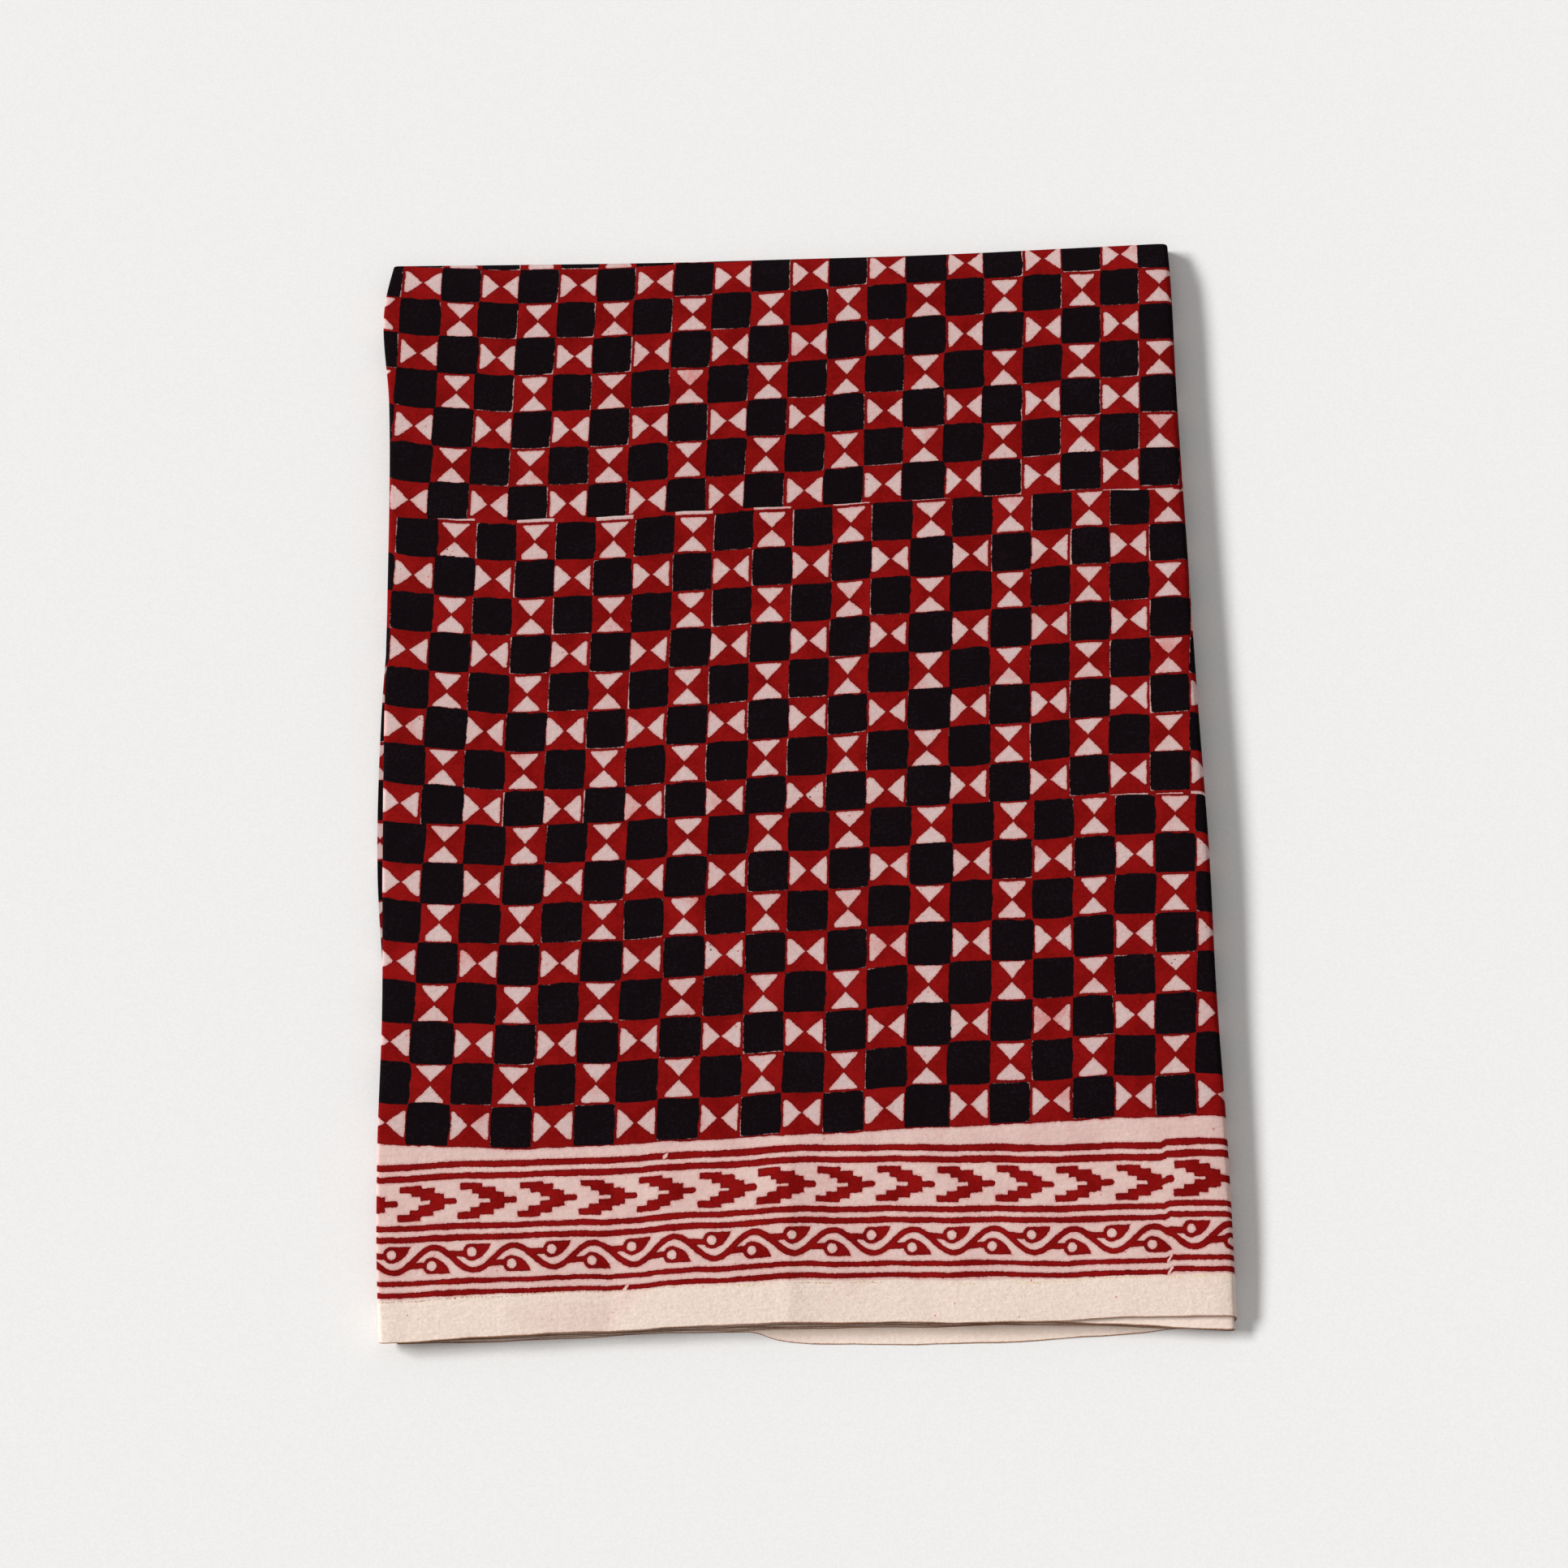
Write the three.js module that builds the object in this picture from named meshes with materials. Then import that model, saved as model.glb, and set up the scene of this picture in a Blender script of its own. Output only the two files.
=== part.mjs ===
// A length of block-printed cotton, folded flat and lying on a table.
//
// The cloth is halved across its width, so that it is two plies thick, with one long
// fold (the crest) at the back and both plain selvedges (the hems) at the front.
// The doubled cloth is then folded lengthwise into four runs, one on another. Seen
// from the front, the cloth goes from its cut end in the third run, by three turns,
// to its other cut end in the bottom run:
//
//      top run       ________________________
//      second run   (______________________  \
//      third run     ______________________)  )
//      bottom run    ________________________/
//
// Millimetres. +X runs to the right along the crest, +Y towards the crest, +Z up.
// The origin is on the flat underside, in the middle of the pack.

import * as THREE from 'three';

const { lerp } = THREE.MathUtils;

// ---- Driving dimensions ---------------------------------------------------------

const PLY = 1.0; // thickness of the cloth
const PLY_GAP = 0.32; // air between the two plies of the doubled cloth
const RUN_GAP = 0.35; // air between one run and the next

// How finely the folded sheet is faceted.
const RUN_STEPS = 8;
const SMALL_TURN_STEPS = 6;
const BIG_TURN_STEPS = 8;
const CREST_STEPS = 4;

// Sides of the pack, seen from above, from the front hems to the crest.
// left: the turn between second and top run. right: the turn round the whole pack.
// thirdEnd, bottomEnd: the cut ends of the cloth, both on the left.
const SIDES = [
  { y: -276, left: -201.6, right: 203.4, thirdEnd: -196.5, bottomEnd: -195.5 },
  { y: -250, left: -204.3, right: 204.0, thirdEnd: -198.5, bottomEnd: -196.0 },
  { y: -185, left: -205.0, right: 205.0, thirdEnd: -200.5, bottomEnd: -198.0 },
  { y: -120, left: -203.2, right: 204.2, thirdEnd: -201.5, bottomEnd: -199.0 },
  { y: -45, left: -203.4, right: 204.7, thirdEnd: -206.0, bottomEnd: -200.5 },
  { y: 30, left: -203.0, right: 203.6, thirdEnd: -204.8, bottomEnd: -200.5 },
  { y: 100, left: -201.8, right: 203.1, thirdEnd: -200.5, bottomEnd: -199.0 },
  { y: 200, left: -201.6, right: 202.4, thirdEnd: -198.5, bottomEnd: -198.5 },
  { y: 254, left: -204.2, right: 202.9, thirdEnd: -198.0, bottomEnd: -198.0 },
  { y: 277, left: -200.0, right: 202.7, thirdEnd: -197.5, bottomEnd: -197.0 },
];

// Height of the pack: more air is caught towards the right, and its edges lie flat.
const HEIGHTS = [
  { y: -276, left: 10.4, middle: 10.5, right: 10.4 },
  { y: -185, left: 10.4, middle: 11.0, right: 11.2 },
  { y: -45, left: 10.5, middle: 12.0, right: 13.4 },
  { y: 100, left: 10.6, middle: 12.4, right: 13.6 },
  { y: 200, left: 10.8, middle: 12.4, right: 13.0 },
  { y: 254, left: 10.9, middle: 12.2, right: 12.4 },
  { y: 277, left: 10.4, middle: 10.4, right: 10.4 },
];

// Rows of vertices that every ply has between its hem and its crest.
const ROWS = [-250, -185, -120, -45, 30, 100, 200, 254];

// Hem and crest lines of each run, from its left end (at 0) to its right end (at 1).
// face: hem of the ply whose print is on the pack's top. back: hem of its partner.
const TOP_LINES = [
  { at: 0.0, face: -276.5, back: -272.5, crest: 278.2 },
  { at: 0.25, face: -273.4, back: -273.5, crest: 276.8 },
  { at: 0.5, face: -271.8, back: -275.4, crest: 276.4 },
  { at: 0.75, face: -274.0, back: -275.3, crest: 277.2 },
  { at: 0.875, face: -273.2, back: -276.4, crest: 278.8 },
  { at: 1.0, face: -273.6, back: -279.8, crest: 280.0 },
];
const SECOND_LINES = [
  { at: 0.0, face: -274.5, back: -272.0, crest: 277.6 },
  { at: 0.5, face: -273.0, back: -271.5, crest: 277.3 },
  { at: 1.0, face: -271.5, back: -273.0, crest: 277.8 },
];
const THIRD_LINES = [
  { at: 0.0, face: -272.0, back: -274.5, crest: 276.6 },
  { at: 0.5, face: -271.5, back: -274.0, crest: 277.0 },
  { at: 1.0, face: -271.5, back: -273.0, crest: 277.8 },
];
const BOTTOM_LINES = [
  { at: 0.0, face: -273.0, back: -275.5, crest: 276.0 },
  { at: 0.375, face: -274.0, back: -275.0, crest: 277.0 },
  { at: 0.5, face: -280.6, back: -274.5, crest: 277.4 },
  { at: 0.625, face: -282.6, back: -275.0, crest: 277.8 },
  { at: 0.875, face: -280.6, back: -277.5, crest: 278.8 },
  { at: 1.0, face: -276.0, back: -279.8, crest: 279.6 },
];

// The runs in their order along the cloth. level counts them up from the table,
// heading is 1 where the cloth goes to the right, and leftSide is a column of SIDES.
const RUNS = [
  { level: 1, heading: 1, leftSide: 'thirdEnd', lines: THIRD_LINES },
  { level: 2, heading: -1, leftSide: 'left', lines: SECOND_LINES },
  { level: 3, heading: 1, leftSide: 'left', lines: TOP_LINES },
  { level: 0, heading: -1, leftSide: 'bottomEnd', lines: BOTTOM_LINES },
];
const TOP_LEVEL = 3;

// ---- Sizes worked out from the driving dimensions -------------------------------

const DOUBLED = 2 * PLY + PLY_GAP; // thickness of the doubled cloth
const PITCH = DOUBLED + RUN_GAP; // from one run to the next
const PLY_OFFSET = (PLY + PLY_GAP) / 2; // from the doubled cloth's middle to a ply's
const PRESSED_HEIGHT = DOUBLED + TOP_LEVEL * PITCH; // the pack with no extra air
const SMALL_RADIUS = PITCH / 2; // turns to the next run
const BIG_RADIUS = (TOP_LEVEL * PITCH) / 2; // the turn round the whole pack

// ---- Reading the tables ---------------------------------------------------------

// A column's value between two rows of a table whose rows go up in key.
function lookUp(table, key, column, value) {
  const last = table.length - 1;
  const next = Math.max(1, table.findIndex((row) => row[key] > value));
  if (value >= table[last][key]) return table[last][column];
  const low = table[next - 1];
  const high = table[next];
  const share = Math.max(0, (value - low[key]) / (high[key] - low[key]));
  return lerp(low[column], high[column], share);
}

// Where a run ends on the left and on the right: at a cut end or where a turn starts.
function leftOf(run, y) {
  const side = lookUp(SIDES, 'y', run.leftSide, y);
  return run.leftSide === 'left' ? side + SMALL_RADIUS + DOUBLED / 2 : side;
}

function rightOf(y) {
  return lookUp(SIDES, 'y', 'right', y) - BIG_RADIUS - DOUBLED / 2;
}

// How much the air in the pack lifts the cloth at a point, as a factor on its height.
function lift(x, y) {
  const middle = lookUp(HEIGHTS, 'y', 'middle', y);
  const outside = lookUp(HEIGHTS, 'y', x < 0 ? 'left' : 'right', y);
  const share = Math.min(1, Math.abs(x) / rightOf(y));
  return lerp(middle, outside, share) / PRESSED_HEIGHT;
}

// ---- Stations: cross-sections of the doubled cloth, from cut end to cut end -----

// line gives a station's hem or crest. place gives, for any y, the middle of the
// doubled cloth (x, z) and the unit direction from there to the face ply.

function runStation(run, at) {
  return {
    line: (column) => lookUp(run.lines, 'at', column, at),
    place: (y) => ({
      x: lerp(leftOf(run, y), rightOf(y), at),
      z: DOUBLED / 2 + run.level * PITCH,
      toFace: new THREE.Vector2(0, run.heading),
    }),
  };
}

function turnStation(before, after, share) {
  const radius = Math.abs(after.level - before.level) * (PITCH / 2);
  const rise = Math.sign(after.level - before.level);
  const angle = Math.PI * share;
  const spoke = new THREE.Vector2(before.heading * Math.sin(angle), -rise * Math.cos(angle));
  const end = before.heading > 0 ? 1 : 0;
  return {
    line: (column) => lerp(
      lookUp(before.lines, 'at', column, end),
      lookUp(after.lines, 'at', column, end),
      share,
    ),
    place: (y) => ({
      x: (before.heading > 0 ? rightOf(y) : leftOf(before, y)) + radius * spoke.x,
      z: DOUBLED / 2 + ((before.level + after.level) / 2) * PITCH + radius * spoke.y,
      toFace: spoke.clone().multiplyScalar(-rise * before.heading),
    }),
  };
}

function makeStations() {
  const stations = [];
  RUNS.forEach((run, index) => {
    for (let step = 0; step <= RUN_STEPS; step += 1) {
      const share = step / RUN_STEPS;
      stations.push(runStation(run, run.heading > 0 ? share : 1 - share));
    }
    const after = RUNS[index + 1];
    if (!after) return;
    const small = Math.abs(after.level - run.level) === 1;
    const steps = small ? SMALL_TURN_STEPS : BIG_TURN_STEPS;
    for (let step = 1; step < steps; step += 1) {
      stations.push(turnStation(run, after, step / steps));
    }
  });
  return stations;
}

// ---- The sheet: each station's plies as a closed ring of vertices ---------------

// Middle line of both plies at a station: from the face ply's hem, over the crest,
// to the back ply's hem. offset is towards the face ply, and out is the way from
// the ply's middle to its printed side, as (offset, y).
function plyLine(station) {
  const crestCentre = station.line('crest') - PLY_OFFSET - PLY / 2;
  const faceRows = [station.line('face'), ...ROWS];
  const backRows = [...ROWS].reverse().concat(station.line('back'));
  const points = faceRows.map((y) => ({ offset: PLY_OFFSET, y, out: new THREE.Vector2(1, 0) }));
  for (let step = 0; step <= CREST_STEPS; step += 1) {
    const angle = (Math.PI * step) / CREST_STEPS;
    const out = new THREE.Vector2(Math.cos(angle), Math.sin(angle));
    points.push({ offset: PLY_OFFSET * out.x, y: crestCentre + PLY_OFFSET * out.y, out });
  }
  backRows.forEach((y) => points.push({ offset: -PLY_OFFSET, y, out: new THREE.Vector2(-1, 0) }));
  return points;
}

// The point of the sheet at depth from its middle: PLY / 2 is its printed side.
function sheetPoint(station, point, depth) {
  const offset = point.offset + depth * point.out.x;
  const y = point.y + depth * point.out.y;
  const { x, z, toFace } = station.place(y);
  const atX = x + offset * toFace.x;
  return new THREE.Vector3(atX, y, (z + offset * toFace.y) * lift(atX, y));
}

function stationRing(station) {
  const line = plyLine(station);
  const printed = line.map((point) => sheetPoint(station, point, PLY / 2));
  const plain = line.map((point) => sheetPoint(station, point, -PLY / 2));
  return [...printed, ...plain.reverse()];
}

function foldedSheetGeometry() {
  const rings = makeStations().map(stationRing);
  const ringSize = rings[0].length;
  const positions = rings.flat().flatMap((point) => point.toArray());
  const triangles = [];
  const addQuad = (a, b, c, d) => triangles.push(a, b, c, a, c, d);
  for (let ring = 0; ring + 1 < rings.length; ring += 1) {
    for (let corner = 0; corner < ringSize; corner += 1) {
      const next = (corner + 1) % ringSize;
      const here = ring * ringSize;
      const ahead = here + ringSize;
      addQuad(here + corner, ahead + corner, ahead + next, here + next);
    }
  }
  // The two cut ends: strips between the printed and the plain side of the ring.
  const lastRing = (rings.length - 1) * ringSize;
  for (let corner = 0; corner + 1 < ringSize / 2; corner += 1) {
    const across = ringSize - 1 - corner;
    addQuad(corner, corner + 1, across - 1, across);
    addQuad(lastRing + corner, lastRing + across, lastRing + across - 1, lastRing + corner + 1);
  }
  const geometry = new THREE.BufferGeometry();
  geometry.setAttribute('position', new THREE.Float32BufferAttribute(positions, 3));
  geometry.setIndex(triangles);
  geometry.computeVertexNormals();
  return geometry;
}

// ---- Material and scene graph ---------------------------------------------------

const printedCotton = new THREE.MeshStandardMaterial({
  name: 'printed_cotton',
  color: 0x8c1414,
  roughness: 0.9,
  metalness: 0,
});

const foldedCloth = new THREE.Mesh(foldedSheetGeometry(), printedCotton);
foldedCloth.name = 'folded_cloth';

const clothPack = new THREE.Group();
clothPack.add(foldedCloth);

export default clothPack;
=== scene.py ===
"""A length of block-printed cotton, folded flat and lying on a pale table.

The cloth is cut flat, laid into its folds and given its thickness. The print is worked out on the
flat cloth, so that it runs round the folds as a real print does. Lengths are in millimetres up to
the place where a mesh, a lamp or the camera is made, and those are in metres.
"""

import math
from collections import namedtuple

import bpy
import numpy as np
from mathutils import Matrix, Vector


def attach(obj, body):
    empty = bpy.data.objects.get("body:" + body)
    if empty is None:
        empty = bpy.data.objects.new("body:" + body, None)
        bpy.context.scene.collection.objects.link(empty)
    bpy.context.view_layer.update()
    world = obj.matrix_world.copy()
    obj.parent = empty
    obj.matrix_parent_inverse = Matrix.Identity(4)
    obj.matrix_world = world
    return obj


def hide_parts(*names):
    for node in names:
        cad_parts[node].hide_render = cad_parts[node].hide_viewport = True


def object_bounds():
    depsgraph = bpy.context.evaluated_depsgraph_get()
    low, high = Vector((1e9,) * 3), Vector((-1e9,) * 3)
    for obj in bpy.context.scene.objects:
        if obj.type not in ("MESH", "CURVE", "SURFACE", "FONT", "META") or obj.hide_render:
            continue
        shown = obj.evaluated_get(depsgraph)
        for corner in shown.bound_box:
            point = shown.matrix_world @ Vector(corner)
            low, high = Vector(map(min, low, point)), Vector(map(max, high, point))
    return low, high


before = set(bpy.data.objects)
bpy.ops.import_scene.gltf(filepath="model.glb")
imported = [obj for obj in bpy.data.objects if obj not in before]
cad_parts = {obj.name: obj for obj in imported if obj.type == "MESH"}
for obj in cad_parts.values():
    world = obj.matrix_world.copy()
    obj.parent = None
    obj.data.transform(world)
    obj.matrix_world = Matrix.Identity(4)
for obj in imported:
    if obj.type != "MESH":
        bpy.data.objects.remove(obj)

packed_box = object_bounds()

MM = 0.001

# ---- The folded cloth ------------------------------------------------------------------

THICKNESS = 0.4  # the cotton itself
CUT_WIDTH = 1104.0  # from one plain selvedge to the other

# The solid's spacing: each ply's middle lies where the solid's ply has its own.
SOLID_PLY = 1.0
PLY_GAP = 0.32
RUN_GAP = 0.35
DOUBLED = 2 * SOLID_PLY + PLY_GAP
PITCH = DOUBLED + RUN_GAP
PLY_OFFSET = (SOLID_PLY + PLY_GAP) / 2
TOP_LEVEL = 3
PRESSED_HEIGHT = DOUBLED + TOP_LEVEL * PITCH

# Sides of the pack, seen from above, from the front hems to the crest.
# left: the turn between second and top run. right: the turn round the whole pack.
# third_end, bottom_end: the cut ends of the cloth, both on the left.
Side = namedtuple("Side", "y left right third_end bottom_end")
SIDES = [
    Side(-276, -203.6, 204.8, -196.5, -195.5),
    Side(-250, -204.7, 205.0, -198.5, -196.0),
    Side(-185, -205.0, 205.2, -200.5, -198.0),
    Side(-120, -203.2, 204.2, -201.5, -199.0),
    Side(-45, -203.4, 204.7, -206.0, -200.5),
    Side(30, -203.0, 203.6, -204.8, -200.5),
    Side(100, -201.8, 203.1, -200.5, -199.0),
    Side(200, -201.6, 202.4, -198.5, -198.5),
    Side(254, -204.2, 202.9, -198.0, -198.0),
    Side(277, -200.0, 202.7, -197.5, -197.0),
]

# Height of the pack: more air is caught towards the right, and its edges lie flat.
Height = namedtuple("Height", "y left middle right")
HEIGHTS = [
    Height(-284, 9.4, 8.4, 8.2),
    Height(-268, 9.8, 9.4, 9.2),
    Height(-240, 10.0, 10.6, 10.4),
    Height(-185, 10.2, 11.0, 11.4),
    Height(-45, 10.5, 12.0, 13.4),
    Height(100, 10.6, 12.4, 13.5),
    Height(200, 10.8, 12.4, 12.9),
    Height(250, 10.6, 12.0, 12.6),
    Height(266, 10.0, 10.8, 12.0),
    Height(280, 6.4, 6.6, 9.0),
]
HALF_WIDTH = 205.0  # of the pack
SHOULDER = 192.0  # from here the top bends down towards the right side
SHOULDER_DROP = 0.8
GAPE_START = -228.0  # in front of it the lower plies lie closer together, and the top ones gape
GAPE_LENGTH = 40.0
GAPE = 0.55

# Hem and crest lines of each run, from its left end (at 0) to its right end (at 1).
# face: hem of the ply whose print is on the pack's top. back: hem of its partner.
Lines = namedtuple("Lines", "at face back crest")
TOP_LINES = [
    Lines(0.0, -276.5, -275.4, 278.2),
    Lines(0.25, -273.4, -272.4, 276.8),
    Lines(0.5, -271.8, -271.0, 276.4),
    Lines(0.75, -274.0, -273.4, 277.2),
    Lines(0.875, -273.2, -276.4, 278.8),
    Lines(1.0, -273.6, -279.8, 280.0),
]
SECOND_LINES = [
    Lines(0.0, -275.0, -274.9, 277.6),
    Lines(0.25, -272.8, -273.0, 277.4),
    Lines(0.5, -272.0, -272.2, 277.3),
    Lines(0.75, -274.2, -274.0, 277.4),
    Lines(0.875, -276.4, -276.2, 277.6),
    Lines(1.0, -279.0, -279.0, 277.8),
]
THIRD_LINES = [
    Lines(0.0, -275.4, -275.6, 276.6),
    Lines(0.25, -273.6, -273.8, 276.8),
    Lines(0.5, -272.8, -273.2, 277.0),
    Lines(0.75, -274.3, -274.5, 277.3),
    Lines(0.875, -276.0, -276.1, 277.5),
    Lines(1.0, -278.8, -278.6, 277.8),
]
BOTTOM_LINES = [
    Lines(0.0, -276.0, -275.8, 276.0),
    Lines(0.11, -276.2, -275.9, 276.3),
    Lines(0.25, -274.9, -274.5, 276.6),
    Lines(0.4, -274.5, -274.0, 277.0),
    Lines(0.435, -275.4, -273.9, 277.1),
    Lines(0.455, -278.2, -273.9, 277.2),
    Lines(0.49, -280.3, -273.9, 277.4),
    Lines(0.55, -281.8, -273.9, 277.6),
    Lines(0.65, -282.6, -274.3, 277.8),
    Lines(0.8, -281.6, -275.0, 278.4),
    Lines(0.875, -280.4, -276.3, 278.8),
    Lines(1.0, -276.0, -279.8, 279.6),
]

# Where each run has its stations, as shares of the way from its left end to its right end.
# The top run has close ones along its two sharpest creases, and the bottom run has a few more
# where its hem comes out from under the others.
SHARP_CREASES = [(0.262, 0.298), (0.472, 0.508)]
CREASE_MARGIN = 0.002


def clear_of_creases(share):
    return all(
        share < start - CREASE_MARGIN or share > end + CREASE_MARGIN for start, end in SHARP_CREASES
    )


HIDDEN_SHARES = np.linspace(0, 1, 35)
TOP_SHARES = np.sort(np.concatenate(
    [[share for share in np.linspace(0, 1, 98) if clear_of_creases(share)]]
    + [np.linspace(start, end, 26) for start, end in SHARP_CREASES]
))
BOTTOM_SHARES = np.sort(np.concatenate([np.linspace(0, 1, 41), [0.435, 0.442, 0.457, 0.465]]))

# The runs in their order along the cloth. level counts them up from the table, and heading is
# 1 where the cloth goes to the right and -1 where it comes back.
Run = namedtuple("Run", "name level heading left_side lines shares")
RUNS = [
    Run("third", 1, 1, "third_end", THIRD_LINES, HIDDEN_SHARES),
    Run("second", 2, -1, "left", SECOND_LINES, HIDDEN_SHARES),
    Run("top", 3, 1, "left", TOP_LINES, TOP_SHARES),
    Run("bottom", 0, -1, "bottom_end", BOTTOM_LINES, BOTTOM_SHARES),
]
TURN_STEPS_PER_LEVEL = 6
TURN_FULLNESS = 0.5  # 1 is a round turn, and less a squarer one

# Rows across the cloth, as shares of the way from hem to crest. They are closer in the hem
# band and near the crest, where the cloth bends.
BAND_SHARE = 0.06
BEND_SHARE = 0.93
FACE_ROWS = np.concatenate([
    np.linspace(0, BAND_SHARE, 11)[:-1],
    np.linspace(BAND_SHARE, BEND_SHARE, 92)[:-1],
    np.linspace(BEND_SHARE, 1, 15),
])
BACK_ROWS = np.concatenate([
    np.linspace(1, BEND_SHARE, 7)[:-1],
    np.linspace(BEND_SHARE, BAND_SHARE, 30)[:-1],
    np.linspace(BAND_SHARE, 0, 6),
])
CREST_STEPS = 8


def smooth_line(rows, key, column):
    """A smooth curve through one column of a table, as a function of the key column."""
    places = np.array([getattr(row, key) for row in rows], float)
    values = np.array([getattr(row, column) for row in rows], float)
    slopes = np.gradient(values, places)

    def value_at(place):
        place = np.clip(place, places[0], places[-1])
        low = np.clip(np.searchsorted(places, place, side="right") - 1, 0, len(places) - 2)
        gap = places[low + 1] - places[low]
        share = (place - places[low]) / gap
        rise = values[low + 1] - values[low]
        start = slopes[low] * gap
        end = slopes[low + 1] * gap
        bend = 3 * rise - 2 * start - end
        twist = start + end - 2 * rise
        return values[low] + share * (start + share * (bend + share * twist))

    return value_at


side_lines = {column: smooth_line(SIDES, "y", column) for column in Side._fields[1:]}
height_lines = {column: smooth_line(HEIGHTS, "y", column) for column in Height._fields[1:]}


# Creases left by an older folding: a ridge where rise is over 0 and a trough where it is under.
# Its sides slope off within left and right, and its height within the last fade of its length.
Crease = namedtuple("Crease", "start end rise left right fade")
CREASES = [
    Crease((-95.0, -280), (-89.0, -205), -0.75, 13.0, 12.0, 45),
    Crease((-8.5, -280), (-6.0, -160), 0.85, 15.0, 8.0, 50),
    Crease((-190.0, -280), (-188.0, -225), -0.25, 5.0, 5.0, 25),
    Crease((-141.0, -280), (-139.0, -235), 0.25, 8.0, 5.0, 25),
    Crease((63.0, -280), (58.0, -236), -0.25, 6.0, 8.0, 25),
    Crease((150.0, -280), (147.0, -225), 0.28, 8.0, 6.0, 25),
]
CREASE_ROUNDING = 0.15  # 0 would be a sharp fold


def swell(x, y):
    """The slow unevenness of the cloth: two low waves whose crests cross."""
    return 0.22 * np.sin(x / 23 + 0.8) * np.sin(y / 31 + x / 90) + 0.18 * np.sin(x / 41 - y / 37 + 2)


def relief(x, y):
    """How far the creases and the slow swells of the cloth lift the pack's top."""
    height = swell(x, y)
    for crease in CREASES:
        start = np.array(crease.start)
        way = np.array(crease.end) - start
        length = np.hypot(*way)
        along = ((x - start[0]) * way[0] + (y - start[1]) * way[1]) / length
        beside = ((x - start[0]) * way[1] - (y - start[1]) * way[0]) / length
        away = np.where(beside > 0, beside / crease.right, -beside / crease.left)
        profile = np.exp(-(away**2) / (away + CREASE_ROUNDING))
        left = np.clip((length - along) / crease.fade, 0, 1)
        height = height + crease.rise * profile * left * left * (3 - 2 * left)
    return height


def pack_height(x, y):
    """Height of the pack's top over the table."""
    left, middle, right = (height_lines[name](y) for name in ("left", "middle", "right"))
    share = x / HALF_WIDTH
    level = middle + share * (right - left) / 2 + share**2 * ((left + right) / 2 - middle)
    past_shoulder = np.clip((x - SHOULDER) / (HALF_WIDTH - SHOULDER), 0, 1)
    return level + relief(x, y) - SHOULDER_DROP * past_shoulder**2


def height_over_table(x, y, z):
    """Where a point at height z in the pressed pack comes once air has got into the pack."""
    share = (z - SOLID_PLY / 2) / (PRESSED_HEIGHT - SOLID_PLY)
    gape = GAPE * np.clip((GAPE_START - y) / GAPE_LENGTH, 0, 1) ** 2
    return THICKNESS / 2 + share * (1 - gape * (1 - share)) * (pack_height(x, y) - THICKNESS)


def left_of(run, y):
    """Where a run starts on the left: at its cut end, or where the turn to the next run begins."""
    side = side_lines[run.left_side](y)
    return side + (PITCH + DOUBLED) / 2 if run.left_side == "left" else side


def right_of(y):
    return side_lines["right"](y) - (TOP_LEVEL * PITCH + DOUBLED) / 2


# A cross-section of the doubled cloth. Its middle is share `at` of the way along its run and
# then shift to the right, at height z. (face_x, face_z) is the way from there to the face ply.
Station = namedtuple("Station", "run at shift z face_x face_z lines")


Wave = namedtuple("Wave", "height slowness")
WAVER = [Wave(0.2, 8.3), Wave(0.18, 17.0), Wave(0.08, 2.9)]
WAVER_LEVEL_SHIFT = 97.0  # these two keep the hems from straying alike
WAVER_BACK_SHIFT = 41.0
WAVER_FADE = 1 / 16  # the hems keep to their lines at a run's very ends
RUN_LENGTH = 400.0


def waver(distance):
    """How far a hem strays from its smooth line."""
    return sum(wave.height * math.sin(distance / wave.slowness) for wave in WAVER)


def lines_at(run, share):
    """The run's face hem, back hem and crest at a share of its way from left to right."""
    return [smooth_line(run.lines, "at", column)(share) for column in Lines._fields[1:]]


def run_stations(run):
    """The stations of a straight run, in the order of the cloth."""
    for share in run.shares if run.heading > 0 else run.shares[::-1]:
        lines = lines_at(run, share)
        strayed = min(share / WAVER_FADE, (1 - share) / WAVER_FADE, 1)
        distance = share * RUN_LENGTH + run.level * WAVER_LEVEL_SHIFT
        lines[0] += strayed * waver(distance)
        lines[1] += strayed * waver(distance + WAVER_BACK_SHIFT)
        yield Station(run, share, 0.0, DOUBLED / 2 + run.level * PITCH, 0.0, run.heading, lines)


def signed_power(value, power):
    """The power of the value's size, with the value's own sign."""
    return math.copysign(abs(value) ** power, value)


def turn_stations(before, after):
    """The stations of the turn from one run into the next, without its two ends.

    The turn is a superellipse, with straighter sides and tighter corners than a circle's.
    """
    levels = abs(after.level - before.level)
    rise = 1 if after.level > before.level else -1
    radius = levels * PITCH / 2
    end = 1 if before.heading > 0 else 0
    here = lines_at(before, end)
    there = lines_at(after, end)
    # The turns over one level are the tightest, so they have two steps more.
    steps = TURN_STEPS_PER_LEVEL * levels if levels > 1 else TURN_STEPS_PER_LEVEL + 2
    for share in np.linspace(0, 1, steps + 1)[1:-1]:
        angle = math.pi * share
        out = math.sin(angle)
        up = -math.cos(angle)
        shift = before.heading * radius * out**TURN_FULLNESS
        climb = rise * radius * signed_power(up, TURN_FULLNESS)
        normal_x = before.heading * out ** (2 - TURN_FULLNESS)
        normal_z = rise * signed_power(up, 2 - TURN_FULLNESS)
        normal = Vector((normal_x, normal_z)).normalized()
        middle = DOUBLED / 2 + (before.level + after.level) / 2 * PITCH
        to_face = -rise * before.heading
        lines = [a + (b - a) * share for a, b in zip(here, there)]
        yield Station(before, end, shift, middle + climb, to_face * normal.x, to_face * normal.y, lines)


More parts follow.
